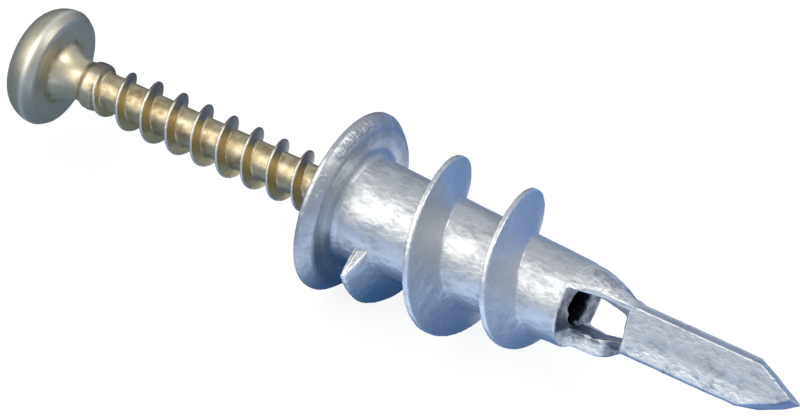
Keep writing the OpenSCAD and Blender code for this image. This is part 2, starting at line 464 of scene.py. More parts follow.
def thin_out(obj: Object, triangles: int) -> None:
    """Takes triangles away where the surface is flattest.

    Args:
        obj: a rebuilt solid, all of four-sided faces.
        triangles: how many triangles may stay.
    """
    before = 2 * len(obj.data.polygons)
    if before > triangles:
        thin = obj.modifiers.new("thin", "DECIMATE")
        thin.ratio = triangles / before
        settle(obj)
    LOG.info("%s: %d triangles, was %d", obj.name, len(obj.data.polygons), before)


def read_vectors(items: bpy.types.bpy_prop_collection, name: str) -> np.ndarray:
    """Reads one vector of every item as an array."""
    flat = np.empty(len(items) * 3)
    items.foreach_get(name, flat)
    return flat.reshape(-1, 3)


def read_points(mesh: Mesh) -> np.ndarray:
    """The mesh's points as an array."""
    return read_vectors(mesh.vertices, "co")


def read_normals(mesh: Mesh) -> np.ndarray:
    """The normals at the mesh's points as an array."""
    return read_vectors(mesh.vertex_normals, "vector")


def store(mesh: Mesh, name: str, values: np.ndarray) -> None:
    """Keeps one number a point as an attribute that a material can read."""
    layer = mesh.attributes.new(name, "FLOAT", "POINT")
    layer.data.foreach_set("value", values.astype(np.float32))


def relax(values: np.ndarray, mesh: Mesh, passes: int) -> np.ndarray:
    """Evens values out over the surface.

    Args:
        values: a row for each point of the mesh.
        mesh: the mesh.
        passes: how often each row becomes the mean of its neighbours.

    Returns:
        The evened rows.
    """
    edges = np.empty(len(mesh.edges) * 2, dtype=np.int64)
    mesh.edges.foreach_get("vertices", edges)
    first, second = edges.reshape(-1, 2).T
    count = len(values)
    share = np.bincount(first, minlength=count) + np.bincount(second, minlength=count)
    share = np.maximum(share, 1)[:, None]
    for _ in range(passes):
        sums = [
            np.bincount(first, column[second], count) + np.bincount(second, column[first], count)
            for column in values.T
        ]
        values = np.stack(sums, axis=1) / share
    return values


def store_edges(mesh: Mesh, full: float, spared: np.ndarray) -> None:
    """Stores how far each point stands out of the smoothed surface, from -1 to 1.

    Args:
        mesh: the finished mesh.
        full: distance that counts as 1.
        spared: share of each point's value that is left out.
    """
    points = read_points(mesh)
    away = ((points - relax(points, mesh, EDGE_PASSES)) * read_normals(mesh)).sum(axis=1)
    away = relax(away[:, None], mesh, 2)[:, 0]
    store(mesh, "edge", np.clip(away / full, -1, 1) * (1 - spared))


def noise_at(points: np.ndarray, scale: float = 1.0) -> np.ndarray:
    """Smooth noise at each point, from about -1 to 1."""
    return np.array([noise.noise(Vector(p) * scale) for p in points])


def roughen(mesh: Mesh, layers: Points, weight: Callable[..., float]) -> None:
    """Moves the surface in and out along its normals by smooth noise, drawn out along x.

    Args:
        mesh: the mesh to move.
        layers: (wavelength, height) of each layer of noise.
        weight: gives a factor for each point from (x, a, b).
    """
    points = read_points(mesh)
    drawn = points * np.array(DRAWN_OUT)
    shift = np.zeros(len(points))
    for wavelength, height in layers:
        shift += height * noise_at(drawn / wavelength)
    shift *= np.array([weight(*p) for p in points])
    moved = points + read_normals(mesh) * shift[:, None]
    mesh.vertices.foreach_set("co", moved.ravel())
    mesh.update()


def rise(value: np.ndarray, ends: Sequence[float], start: float = 0.0) -> np.ndarray:
    """Smooth step of an array from 0 at the first end to 1 at the second.

    Args:
        value: the array.
        ends: both ends, measured from the start.
        start: where they are measured from.

    Returns:
        The step.
    """
    low, high = start + ends[0], start + ends[1]
    t = np.clip((value - low) / (high - low), 0, 1)
    return t * t * (3 - 2 * t)


def fall(value: np.ndarray, ends: Sequence[float], start: float = 0.0) -> np.ndarray:
    """Smooth step of an array from 1 at the first end to 0 at the second."""
    return 1 - rise(value, ends, start)


def finish_piece(obj: Object, material: Material, node: str, body: str) -> None:
    """Args:
        obj: the piece, in millimetres in the axis frame.
        material: its material.
        node: the CAD node it stands for.
        body: the body it rides on.
    """
    mesh = obj.data
    mesh.transform(Matrix.Scale(MM, 4) @ Matrix.Rotation(LIE_ROLL, 4, "X"))
    mesh.materials.clear()
    mesh.materials.append(material)
    mesh.polygons.foreach_set("use_smooth", [True] * len(mesh.polygons))
    mesh.update()
    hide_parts(node)
    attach(obj, body)
    LOG.info("piece %s: %d triangles on %s", obj.name, len(mesh.polygons), body)


# ------------------------ geometry nodes


class GeometryTree(NodeGroup):
    """A Geometry Nodes tree that ends in real geometry with its material."""

    def __init__(self, name: str, inputs: dict) -> None:
        """Makes the tree, with a material as its last input."""
        inputs = {**inputs, "Material": Socket.MATERIAL}
        super().__init__(name, "GeometryNodeTree", inputs, {"Geometry": Socket.GEOMETRY})

    def close(self, geometry: Flow) -> None:
        """Ends the tree in Realize Instances and Set Material."""
        real = self.out("GeometryNodeRealizeInstances", {0: geometry})
        feeds = {"Geometry": real, "Material": self.given["Material"]}
        self.give(Geometry=self.out("GeometryNodeSetMaterial", feeds))

    def run(self, obj: Object, values: dict) -> Object:
        """Runs the tree on an object and keeps the result as a plain mesh.

        Args:
            obj: the object.
            values: the tree's inputs, by name.

        Returns:
            The object.
        """
        modifier = obj.modifiers.new(self.tree.name, "NODES")
        modifier.node_group = self.tree
        for item in self.tree.interface.items_tree:
            if item.in_out == "INPUT" and item.name in values:
                modifier[item.identifier] = values[item.name]
        return settle(obj)


class ThreadTree(GeometryTree):
    """Makes a closed thread rib wound round the axis.

    The rib's section climbs from the back foot to the crest, crosses it, comes down the front
    flank and returns under the root. The three shares say how far round each of them ends.
    """

    BACK, CREST, FRONT = 0.3, 0.4, 0.8
    ROUND = 41
    GROWTH = (-0.4, 1.08)
    LEAN_RATE, FLAT_RATE = 4.0, 3.0
    MERGE = 0.0005
    PLACE = {"Start": 0.0, "Start Angle": 0.0, "Turns": 2.0, "Pitch": 6.0}
    RADII = {"Root Radius": 4.0, "Root Taper": 0.0, "Crest Radius": 6.5, "Sink": 0.5}
    SECTION = {"Crest Width": 0.4, "Back Foot": 0.2, "Front Foot": 1.7, "Hollow": 1.0}
    ENDS = {"Lean": 0.0, "Flat Height": 0.0, "Tip Start": 1000.0, "Tip Length": 4.0}
    FADES = {"Fade In": 0.0, "Fade Power": 1.0, "Start Height": 0.0, "Fade Out": 0.5}
    INPUTS = {**PLACE, **RADII, **SECTION, **ENDS, **FADES, "Steps": 200}

    def __init__(self) -> None:
        """Builds the tree."""
        super().__init__("thread_rib", self.INPUTS)
        get = self.given
        sizes = {"Size X": 1.0, "Size Y": 1.0, "Vertices X": get["Steps"], "Vertices Y": self.ROUND}
        grid = self.out("GeometryNodeMeshGrid", sizes)
        along, around, _ = self.parts(self.out("GeometryNodeInputPosition"))
        along, around = along + 0.5, around + 0.5
        step = 1.0 / (get["Steps"] - 1.0)
        turn = self.ramp(along, step, 1.0 - step, 0.0, get["Turns"])
        ends = self.math("MINIMUM", along, 1.0 - along) * 1e4
        open_end = self.math("MINIMUM", ends, 1.0, clamp=True)

        axial = turn.scaled(get["Pitch"], get["Start"])
        root, crest = self._radii(turn, axial)
        share, offset = self._section(turn, around)
        radius = self.blend(share * open_end, root - get["Sink"], crest)
        lead = self._lead(turn, radius)
        angle = turn.scaled(2 * math.pi, lead) + get["Start Angle"]
        x = axial + lead * (get["Pitch"] / (2 * math.pi)) + offset * open_end
        a = radius * self.math("COSINE", angle)
        b = radius * self.math("SINE", angle)
        spot = self.out("ShaderNodeCombineXYZ", {0: x, 1: a, 2: b})
        moved = self.out("GeometryNodeSetPosition", {"Geometry": grid, "Position": spot})
        feeds = {"Geometry": moved, "Distance": self.MERGE}
        self.close(self.out("GeometryNodeMergeByDistance", feeds))

    def _radii(self, turn: Flow, axial: Flow) -> Tuple[Flow, Flow]:
        """Root and crest radius along the thread, with its fades and its tapered tip.

        Args:
            turn: turns from the thread's start.
            axial: the way along the axis.

        Returns:
            The radius at the root and at the crest.
        """
        get = self.given
        started = self.ramp(turn, -0.0001, get["Fade In"])
        fade_in = self.math("POWER", started, get["Fade Power"])
        fade_in = self.blend(fade_in, get["Start Height"], 1.0)
        fade_out = self.ramp(get["Turns"] - turn, 0.0, get["Fade Out"], smooth=True)
        taper = (axial - get["Start"]) * get["Root Taper"]
        past = self.math("MAXIMUM", axial - get["Tip Start"], 0.0)
        tip = (past / get["Tip Length"]).rest()
        root = (get["Root Radius"] - taper) * tip
        height = (get["Crest Radius"] - get["Root Radius"]) * self.math("SQRT", tip)
        return root, root + (height + taper * tip) * (fade_in * fade_out)

    def _section(self, turn: Flow, around: Flow) -> Tuple[Flow, Flow]:
        """The rib's section.

        Args:
            turn: turns from the thread's start.
            around: the way round the section, from 0 to 1.

        Returns:
            How far up the rib a point is, from 0 to 1, and how far along the axis it stands off.
        """
        get = self.given
        grown = self.math("MAXIMUM", turn.scaled(*self.GROWTH), 1.0)
        back_rise = self.ramp(around, 0.0, self.BACK)
        front_rise = self.ramp(around, self.CREST, self.FRONT, 1.0, 0.0)
        front_rise = self.math("POWER", front_rise, get["Hollow"])
        half = get["Crest Width"] * 0.5
        front = get["Front Foot"] * grown
        back = get["Lean"] * (turn * self.LEAN_RATE).rest() - get["Back Foot"]
        offset = self.blend(back_rise, back, half * -1.0)
        offset += self.ramp(around, self.BACK, self.CREST, 0.0, get["Crest Width"])
        offset += self.ramp(around, self.CREST, self.FRONT, 0.0, front - half)
        offset -= self.ramp(around, self.FRONT, 1.0, 0.0, front - back)
        return self.math("MINIMUM", back_rise, front_rise), offset

    def _lead(self, turn: Flow, radius: Flow) -> Flow:
        """How far a point is turned on, so that the thread starts with a flat face.

        Args:
            turn: turns from the thread's start.
            radius: the point's distance from the axis.

        Returns:
            The angle.
        """
        flat, root = self.given["Flat Height"], self.given["Root Radius"]
        outside = self.math("MAXIMUM", radius, root)
        at_root, here = (
            self.math("ARCSINE", self.math("DIVIDE", flat, reach, clamp=True))
            for reach in (root, outside)
        )
        return (at_root - here) * (turn * self.FLAT_RATE).rest()

    def make(self, name: str, values: dict) -> Object:
        """Makes a thread.

        Args:
            name: the object's name.
            values: the tree's inputs, by name.

        Returns:
            The rib as a plain closed mesh.
        """
        obj = self.run(new_object(name, bpy.data.meshes.new(name)), values)
        with editing(obj.data) as shape:
            bmesh.ops.dissolve_degenerate(shape, dist=1e-5, edges=shape.edges)
            bmesh.ops.recalc_face_normals(shape, faces=shape.faces)
            LOG.info("%s: %d open edges", name, sum(not e.is_manifold for e in shape.edges))
        return obj


class BurrTree(GeometryTree):
    """Sets small uneven burrs on a row of points."""

    SHIFT = ((-1.0, -1.0, -1.0), (1.0, 1.0, 1.0))
    GROWTH = ((0.45, 0.45, 0.45), (1.3, 1.0, 1.0))
    INPUTS = {"Geometry": Socket.GEOMETRY, "Size": 0.2, "Spread": 0.1, "Seed": 1}

    def __init__(self) -> None:
        """Builds the tree."""
        super().__init__("burrs", self.INPUTS)
        get = self.given
        points = self.out("GeometryNodeMeshToPoints", {"Mesh": get["Geometry"]})
        shift = self._random(self.SHIFT, get["Seed"], get["Spread"])
        moved = self.out("GeometryNodeSetPosition", {"Geometry": points, "Offset": shift})
        ball = self.out("GeometryNodeMeshIcoSphere", {"Radius": 0.5, "Subdivisions": 2})
        size = self._random(self.GROWTH, get["Seed"] + 7.0, get["Size"])
        feeds = {"Points": moved, "Instance": ball, "Scale": size}
        self.close(self.out("GeometryNodeInstanceOnPoints", feeds))

    def _random(self, corners: Points, seed: Flow, scale: Flow) -> Flow:
        """Draws a random vector between two corners, times a scale.

        Args:
            corners: the lowest and the highest vector.
            seed: the seed.
            scale: the scale.

        Returns:
            The vector.
        """
        feeds = {"Min": corners[0], "Max": corners[1], "Seed": seed}
        drawn = self.out("FunctionNodeRandomValue", feeds, data_type="FLOAT_VECTOR")
        return self.out("ShaderNodeVectorMath", {0: drawn, "Scale": scale}, operation="SCALE")

    def make(self, name: str, path: Points, values: dict) -> Object:
        """Sets burrs along a path of (x, a, b) points.

        Args:
            name: the object's name.
            path: the points.
            values: the tree's inputs, by name.

        Returns:
            The burrs as one plain mesh.
        """
        mesh = bpy.data.meshes.new(name)
        mesh.from_pydata(path, [], [])
        return self.run(new_object(name, mesh), values)


# ------------------------ finishes


class Mottle(NodeGroup):
    """Uneven patches of a raw metal skin: broad patches, grains and fine speckle."""

    def __init__(self) -> None:
        """Builds the group."""
        inputs = {"Vector": Socket.VECTOR, "Patch Scale": 900.0, "Grain Scale": 3500.0}
        outputs = dict.fromkeys(("Patches", "Grain", "Height"), Socket.FLOAT)
        super().__init__("metal_mottle", "ShaderNodeTree", {**inputs, "Stretch": 1.0}, outputs)
        get = self.given
        stretch = self.out("ShaderNodeCombineXYZ", {0: get["Stretch"], 1: 1.0, 2: 1.0})
        place = self.out("ShaderNodeMapping", {"Vector": get["Vector"], "Scale": stretch})
        broad = {"Scale": get["Patch Scale"], "Detail": 5.0, "Roughness": 0.62}
        small = {"Vector": place, "Scale": get["Grain Scale"]}
        patches = self.out("ShaderNodeTexNoise", {"Vector": place, **broad}, "Fac")
        grain = self.out("ShaderNodeTexVoronoi", small, "Distance", feature="F1")
        fine = self.out("ShaderNodeTexNoise", {**small, "Detail": 3.0}, "Fac")
        spots = self.ramp(patches, 0.34, 0.58)
        speckle = self.blend(0.5, self.ramp(grain, 0.05, 0.75), self.ramp(fine, 0.3, 0.7))
        self.give(Patches=spots, Grain=speckle, Height=self.blend(0.35, spots, speckle))


class EdgeGlintAndCreaseShade(NodeGroup):
    """Painted highlights on convex edges and painted shade in concave creases, from the edge
    attribute of a piece; the Hollow output is the painted crease shade.
    """

    def __init__(self) -> None:
        """Builds the group."""
        inputs = {"Breakup": 0.5, "Amount": 0.3, "Low": 0.15, "High": 0.6}
        outputs = dict.fromkeys(("Rubbed", "Hollow"), Socket.FLOAT)
        super().__init__("edge_glint_and_crease_shade_group", "ShaderNodeTree", inputs, outputs)
        get = self.given
        value = (get["Breakup"] - 0.5).scaled(get["Amount"], self.attribute("edge"))
        # painted highlight on convex edges, painted shade in concave creases
        edge_glint, crease_shade = (
            self.ramp(way, get["Low"], get["High"], smooth=True) for way in (value, value * -1.0)
        )
        self.give(Rubbed=edge_glint, Hollow=crease_shade)


class ShaderGroups:
    """The shader node groups that both finishes use."""

    def __init__(self) -> None:
        """Builds each group once."""
        self.mottle = Mottle().tree
        self.edge_glint_and_crease_shade = EdgeGlintAndCreaseShade().tree


class MaterialGraph(NodeGraph):
    """The nodes of a new material."""

    def __init__(self, name: str) -> None:
        """Makes the material, with object coordinates at hand.

        Args:
            name: the material's name.
        """
        self.material = bpy.data.materials.new(name)
        self.material.use_nodes = True
        super().__init__(self.material.node_tree)
        self.coords = self.out("ShaderNodeTexCoord", output="Object")

    def shade(self, feeds: Dict[str, Feed]) -> Material:
        """Feeds the Principled shader's sockets by name and returns the material."""
        for name, value in feeds.items():
            self.feed(self.tree.nodes["Principled BSDF"].inputs[name], value)
        return self.material


@dataclass(frozen=True)
class MetalFinish:
    """What the metal finishes share: the scale of the mottle, the painted edge highlight and crease
    shade, and the relief.
    """

    mottle: tuple = (("Patch Scale", 1100.0), ("Grain Scale", 3600.0), ("Stretch", 1.0))
    edge_glint_and_crease_shade: tuple = (("Amount", 0.3), ("Low", 0.2), ("High", 0.7))
    relief: tuple = (("Strength", 0.5), ("Distance", 0.00002))


class MetalGraph(MaterialGraph):
    """A metal material's nodes, with the shared groups in place."""

    def __init__(self, name: str, finish: MetalFinish, groups: ShaderGroups) -> None:
        """Makes the material and places the groups with the finish's values.

        Args:
            name: the material's name.
            finish: the finish.
            groups: the shared shader groups.
        """
        super().__init__(name)
        self.finish = finish
        mottle = self.group(groups.mottle, {"Vector": self.coords, **dict(finish.mottle)})
        self.patches, self.grain, self.height = mottle.values()
        # the painted edge highlight and crease shade
        edge_glint_and_crease_shade = self.group(groups.edge_glint_and_crease_shade, {"Breakup": self.grain, **dict(finish.edge_glint_and_crease_shade)})
        self.edge_glint, self.crease_shade = edge_glint_and_crease_shade.values()

    def close(self, colour: Flow, rough: Flow, height: Flow) -> Material:
        """Feeds the shader.

        Args:
            colour: the metal's colour.
            rough: its roughness.
            height: its relief.

        Returns:
            The material.
        """
        normal = self.out("ShaderNodeBump", {**dict(self.finish.relief), "Height": height})
        feeds = {"Base Color": colour, "Roughness": rough, "Metallic": 1.0, "Normal": normal}
        return self.shade(feeds)


@dataclass(frozen=True)
class CastZinc(MetalFinish):
    """Bare zinc die casting: bright, uneven and slightly rough. Its colour also holds painted
    light: near-white bare patches that are partly painted highlight on the nose and on the blade's
    lower side, painted highlight along edges, and painted shade in creases, in recesses, on the
    flange and on the blade's upper half.

    A pair is a factor and an offset on the stored bareness or on the mottle, or the two ends of
    a range.
    """

    mottle: tuple = (("Patch Scale", 750.0), ("Grain Scale", 3000.0), ("Stretch", 0.6))
    edge_glint_and_crease_shade: tuple = (("Amount", 0.7), ("Low", 0.5), ("High", 1.2))
    relief: tuple = (("Strength", 0.8), ("Distance", 0.00005))
    light: tuple = (0.76, 0.77, 0.78, 1.0)
    dark: tuple = (0.34, 0.36, 0.39, 1.0)
    # near-white bare patches, partly painted highlight on the nose and the blade's lower side
    bare_and_lit: tuple = (0.94, 0.94, 0.92, 1.0)
    # painted highlight on edges and painted shade in creases
    edge_glint: tuple = (0.90, 0.90, 0.90, 1.0)
    crease_shade: tuple = (0.30, 0.34, 0.42, 1.0)
    # dark bluish painted shade for recesses, the bore and the blade's upper half
    painted_shade: tuple = (0.045, 0.06, 0.105, 1.0)
    grain_share: float = 0.35
    crease_shade_share: float = 0.5
    flecked: tuple = (0.8, 0.25)
    bare: tuple = (1.6, -0.5)
    bare_patches: tuple = (0.3, 0.62)
    painted_shade_breakup: tuple = (-0.4, 1.2)
    roughened: tuple = (1.6, 0.25)
    rough_low: float = 0.36
    rough_high: float = 0.55
    rough_edge_glint: float = 0.35

    def build(self, groups: ShaderGroups) -> Material:
        """Makes the material.

        Args:
            groups: the shared shader groups.

        Returns:
            The material.
        """
        graph = MetalGraph("cast_zinc", self, groups)
        bareness_and_light = graph.attribute("bareness_and_light")
        patches = graph.blend(self.grain_share, graph.patches, graph.grain)
        fleck = (1.0 - patches) * bareness_and_light.scaled(*self.flecked)
        # bare patches, brighter as painted highlight where the stored value is high
        bare_and_lit = bareness_and_light.scaled(*self.bare, clamp=True) * graph.ramp(patches, *self.bare_patches)
        uneven = patches.scaled(*self.painted_shade_breakup)
        # painted shade, broken up by the mottle
        painted_shade_amount = graph.math("MULTIPLY", graph.attribute("painted_shade"), uneven, clamp=True)
        colour = graph.mix(fleck, self.light, self.dark)
        colour = graph.mix(bare_and_lit, colour, self.bare_and_lit)
        # painted highlight on the edges, then painted shade in the creases
        colour = graph.mix(graph.edge_glint, colour, self.edge_glint)
        colour = graph.mix(graph.crease_shade * self.crease_shade_share, colour, self.crease_shade)
        colour = graph.mix(painted_shade_amount, colour, self.painted_shade)
        rough = graph.blend(patches, self.rough_high, self.rough_low)
        rough = graph.blend(graph.edge_glint, rough, self.rough_edge_glint)
        return graph.close(colour, rough, bareness_and_light.scaled(*self.roughened) * graph.height)


@dataclass(frozen=True)
class YellowSteel(MetalFinish):
    """Yellow-passivated steel: golden and patchy, with a painted highlight along the crests' lit
    side, on the neck and on the head's ridge, and painted shade on the head's top and the thread's
    upper side.
    """

    gold: tuple = (0.40, 0.30, 0.15, 1.0)
    pale: tuple = (0.70, 0.60, 0.40, 1.0)
    # painted highlight on the neck
    neck: tuple = (0.92, 0.84, 0.62, 1.0)
    flank: tuple = (0.66, 0.54, 0.29, 1.0)
    # painted shade on the thread's upper side
    upper_side_shade: tuple = (0.29, 0.25, 0.21, 1.0)
    head: tuple = (0.61, 0.57, 0.47, 1.0)
    # painted highlight along the head's ridge
    rim: tuple = (1.0, 0.96, 0.85, 1.0)
    # painted highlight along the crests, left out on their upper side
    crest: tuple = (0.88, 0.84, 0.74, 1.0)
    rough_low: float = 0.36
    rough_high: float = 0.46
    rough_head: float = 0.44

    def build(self, groups: ShaderGroups) -> Material:
        """Makes the material.

        Args:
            groups: the shared shader groups.

        Returns:
            The material.
        """
        graph = MetalGraph("yellow_steel", self, groups)
        colour = graph.mix(graph.patches, self.gold, self.pale)
        # among these, the neck and the ridge carry painted highlight and the upper side painted
        # shade
        for zone in ("neck", "flank", "upper_side_shade", "head", "rim"):
            colour = graph.mix(graph.attribute(zone), colour, getattr(self, zone))
        # painted highlight along the crests
        colour = graph.mix(graph.edge_glint, colour, self.crest)
        rough = graph.blend(graph.patches, self.rough_high, self.rough_low)
        rough = graph.blend(graph.attribute("head"), rough, self.rough_head)
        return graph.close(colour, rough, graph.height)


# ------------------------ the anchor


@dataclass(frozen=True)
class BarenessAndLight:
    """How bare and bright the casting's skin is, from 0 to 1; the extra brightness on the nose and
    on the blade's lower side is painted highlight.
    """

    tube: float = 0.42
    smooth_less: float = 0.28
    nose: float = 0.8
    blade: float = 0.5
    blade_low_more: float = 0.35
    window_less: float = 0.8


@dataclass(frozen=True)
class PaintedShade:
    """How dark the painted shade is on each part of the casting, from 0 to 1: in the window, on its
    rails, beside it in blotches, in the dip, on the end wall, in the flange's corner, on the
    flange's outer face, along a groove line of the blade and on the blade's upper half.
    """

    window_wall: float = 0.75
    rails: float = 0.3
    blotchy_shade: float = 0.8
    dip: float = 0.55
    end_wall: float = 0.85
    corner: float = 0.22
    flange_edge: float = 0.27
    streak: float = 0.22
    blade: float = 0.12


@dataclass(frozen=True)
class CastingZones:
    """Where the casting's bare patches and painted shade change, in millimetres. A pair is the two
    ends of a change.

    Names that end in x lie along the axis, in a across the blade, in b through it and in r out
    from the axis. The blade and the dip are measured from the window's end, the nose and the end
    wall from the wall's outer face, the window and the blotchy shade from the window's side, and
    how far the corner goes up from the tube.
    """

    blotch_scale: float = 2.6
    standing_r: float = 0.25
    standing_slope: float = 0.4
    spread_passes: int = 4
    flange_x: float = 0.3
    low_side_a: tuple = (0.1, 1.3)
    blade_x: tuple = (-0.1, 0.5)
    nose_x: float = 0.2
    window_a: tuple = (0.02, 0.12)
    wall_b: tuple = (0.6, 0.85)
    blotchy_shade_a: tuple = (0.2, 0.8)
    blotchy_shade_noise: tuple = (-0.35, 0.15)
    dip_x: tuple = (-1.35, -1.2)
    dip_b: tuple = (0.75, 0.9)
    bore_spare: float = 0.1
    end_wall_x: float = 0.15
    end_wall_a: float = 0.3
    end_wall_r: float = 3.2
    corner_up: tuple = (0.1, 1.2)
    corner_x: tuple = (0.1, 0.6)
    corner_r: float = 3.9
    edge_r: tuple = (5.0, 5.7)
    edge_x: tuple = (-0.1, 0.4)
    streak_a: float = 0.15
    streak_lean: float = 0.05
    streak_middle_x: float = 29.0
    streak_half_a: float = 0.2
    streak_least: float = 0.7
    streak_start_x: tuple = (25.5, 27.5)
    streak_end_x: tuple = (32.0, 34.5)


@dataclass(frozen=True)
class Unevenness:
    """A factor on the height of the casting's uneven skin in each part, and where parts begin."""

    tube_x: float = 0.3
    nose_x: float = 19.0
    blade_x: float = 24.2
    flange: float = 0.5
    tube: float = 1.0
    nose: float = 1.3
    blade: float = 0.35
    blade_low_more: float = 0.9
    blade_low_a: float = 0.6


@dataclass(frozen=True)
class Burrs:
    """Where the casting's burrs are and how large they are. Angles are in degrees."""

    seed: int = 11
    edge_gap: tuple = (0.3, 0.9)
    sparse: float = 1.5
    dense_len: float = 4.0
    point_shares: tuple = (0.12, 0.33, 0.42, 0.55, 0.63)
    band_count: int = 22
    band_start: float = 8.0
    band_step: float = 1.9
    band_stray: float = 0.6
    band_r: tuple = (6.6, 6.75)
    band_pair: float = 0.17
    speck_count: int = 14
    speck_sweep: tuple = (55, 140)
    speck_r: tuple = (6.5, 7.0)
    band_slope: float = 1.1
    band_middle: float = 6.8
    speck_level: float = -0.52
    band_level: float = -0.5
    edge_start: float = 0.9
    edge_in: tuple = (0.02, 0.03)
    point_in: tuple = (0.04, 0.05)
    sizes: tuple = ((0.16, 0.03), (0.26, 0.04), (0.27, 0.03), (0.2, 0.03))

    def on_band(self, level: float, r: float, degrees: float) -> Tuple[float, float, float]:
        """A point on the flange's sloping band, which is at level in its middle."""
        angle = math.radians(degrees)
        x = level - self.band_slope * (r - self.band_middle)
        return x, r * math.cos(angle), r * math.sin(angle)


@dataclass
class Anchor:
    """The die-cast anchor: flange, tapered tube, coarse thread, window and drill blade.

    An outline is a row of (x, radius) points; the flange's outer edge starts from its outer face.
    The knee of the ground point is given as shares of the point's length and the half width. The
    tube's round and the window's corner are steps in (x, radius) and (x, a) from where each ends,
    and the dip's floor in (b, x) from its depth and the window's end.
    """

    flange_r: float = 7.1
    flange_t: float = 1.35
    rim_t: float = 0.45
    outer_edge: tuple = ((0.0, 0.0), (0.0, 6.95), (0.045, 7.055))
    outer_round: float = 0.15
    inner_edge: tuple = (
        *((-0.5, 6.8), (-0.12, 6.44), (0.0, 6.2)),
        *((0.02, 5.6), (0.0, 4.7), (0.1, 4.32)),
    )
    tube_r: float = 4.05
    tube_end_r: float = 3.38
    tube_len: float = 19.5
    tube_stations: tuple = (0.42, 4.0, 8.0, 12.0, 16.0, 19.2)
    tube_round: tuple = ((-0.08, -0.08), (0.0, -0.28))
    end_wall: float = 1.2
    bore_r: float = 2.45
    hole_r: float = 1.5
    hole_waves: tuple = ((0.07, 5, 0.6), (0.05, 9, 0.0))
    hole_spare: float = 0.5
    recess_span: float = 6.4
    recess_w: float = 1.4
    recess_depth: float = 3.0
    pitch: float = 6.57
    crest_r: float = 6.55
    thread_start: float = 1.86
    thread_turns: float = 885 / 360
    thread: tuple = (
        *(("Crest Width", 0.4), ("Back Foot", 0.24), ("Front Foot", 1.85), ("Hollow", 1.25)),
        *(("Fade In", 0.1), ("Start Height", 0.78), ("Fade Out", 240 / 360)),
        *(("Sink", 0.6), ("Steps", 260)),
    )
    lean: float = 0.8
    flat_height: float = 2.75
    flat_turn: float = 20.0
    upper_rail: tuple = (
        *((20.7, 3.26), (21.4, 3.1), (22.0, 2.9), (22.7, 2.64)),
        *((23.3, 2.42), (23.8, 2.24), (24.3, 2.08), (24.9, 1.85)),
    )
    lower_rail: tuple = (
        *((19.8, 3.16), (20.2, 3.02), (21.4, 2.98), (22.4, 2.93), (22.9, 2.75)),
        *((23.3, 2.5), (23.7, 2.2), (24.0, 1.85)),
    )
    window_knee: float = 21.75
    window_end: float = 23.95
    blunt_inner: float = 1.56
    sloped_inner: float = 1.92
    window_half: float = 1.5
    window_corner: tuple = ((-0.25, 0.06), (-0.06, -0.08), (-0.02, -0.3))
    narrowing: float = 0.4
    ramp: tuple = ((0.8, 24.5), (1.9, 21.7), (2.9, 19.5))
    low_top: float = 0.95
    dip_len: float = 1.3
    dip_depth: float = 0.5
    dip_past: float = 0.06
    dip_floor: tuple = ((0.1, -0.04), (0.0, -0.15), (0.06, -0.4))
    blade_half_w: float = 1.975
    blade_half_t: float = 0.8
    chamfer: float = 0.3
    spare: float = 0.3
    shoulder: float = 35.5
    point: float = 3.7
    knee: tuple = (0.55, 0.45)
    bulge: float = 0.2
    front_relief: float = 0.7
    back_relief: float = 0.45
    voxel: float = 0.085
    uneven: tuple = ((2.4, 0.03), (0.75, 0.018), (0.33, 0.014))
    edge_full: float = 0.045
    blade_spared: float = 0.3
    triangles: int = 196_000
    bare_and_lit: BarenessAndLight = BarenessAndLight()
    painted_shades: PaintedShade = PaintedShade()
    zones: CastingZones = CastingZones()
    skin: Unevenness = Unevenness()
    burrs: Burrs = Burrs()

    def build(self, threads: ThreadTree, burrs: BurrTree, material: Material) -> Object:
        """Builds the whole casting as one closed mesh.

        Args:
            threads: the thread tree.
            burrs: the burr tree.
            material: the casting's material.

        Returns:
            The piece, in millimetres in the axis frame.
        """
        casting = self._flange_and_tube()
        combine(casting, self._thread(threads, material), Cut.JOIN)
        combine(casting, self._nose(), Cut.JOIN)
        combine(casting, self._bore(), Cut.REMOVE)
        depth = (-REACH, self.recess_depth - self.flange_t)
        cut_cross(casting, depth, self.recess_span, self.recess_w, angle=45)
        self._add_burrs(casting, burrs, material)
        casting.name = "anchor_casting"
        soften(casting, self.voxel, passes=1)
        roughen(casting.data, self.uneven, self._unevenness)
        return casting

    def dress(self, casting: Object, material: Material) -> None:
        """Args:
            casting: the built casting.
            material: its material.
        """
        mesh = casting.data
        on_blade = read_points(mesh)[:, 0] > self.window_end
        store_edges(mesh, self.edge_full, self.blade_spared * on_blade)
        self._store_zones(mesh)
        thin_out(casting, self.triangles)
        finish_piece(casting, material, "anchor", "anchor")

    def _root_at(self, x: Union[float, np.ndarray]) -> Union[float, np.ndarray]:
        """Radius of the plain tube at x."""
        return self.tube_r + (self.tube_end_r - self.tube_r) * x / self.tube_len

    def _flange_and_tube(self) -> Object:
        """Turns the flange and the plain tube as one profile.

        Returns:
            The solid.
        """
        back, end, end_r = -self.flange_t, self.tube_len, self.tube_end_r
        profile = [(back + x, r) for x, r in self.outer_edge]
        profile += [(back + self.outer_round, self.flange_r), (back + self.rim_t, self.flange_r)]
        profile += self.inner_edge
        profile += [(x, self._root_at(x)) for x in self.tube_stations]
        profile += [(end + x, end_r + r) for x, r in self.tube_round]
        return lathe("flange_and_tube", [*profile, (end, 0.0)], segments=192)

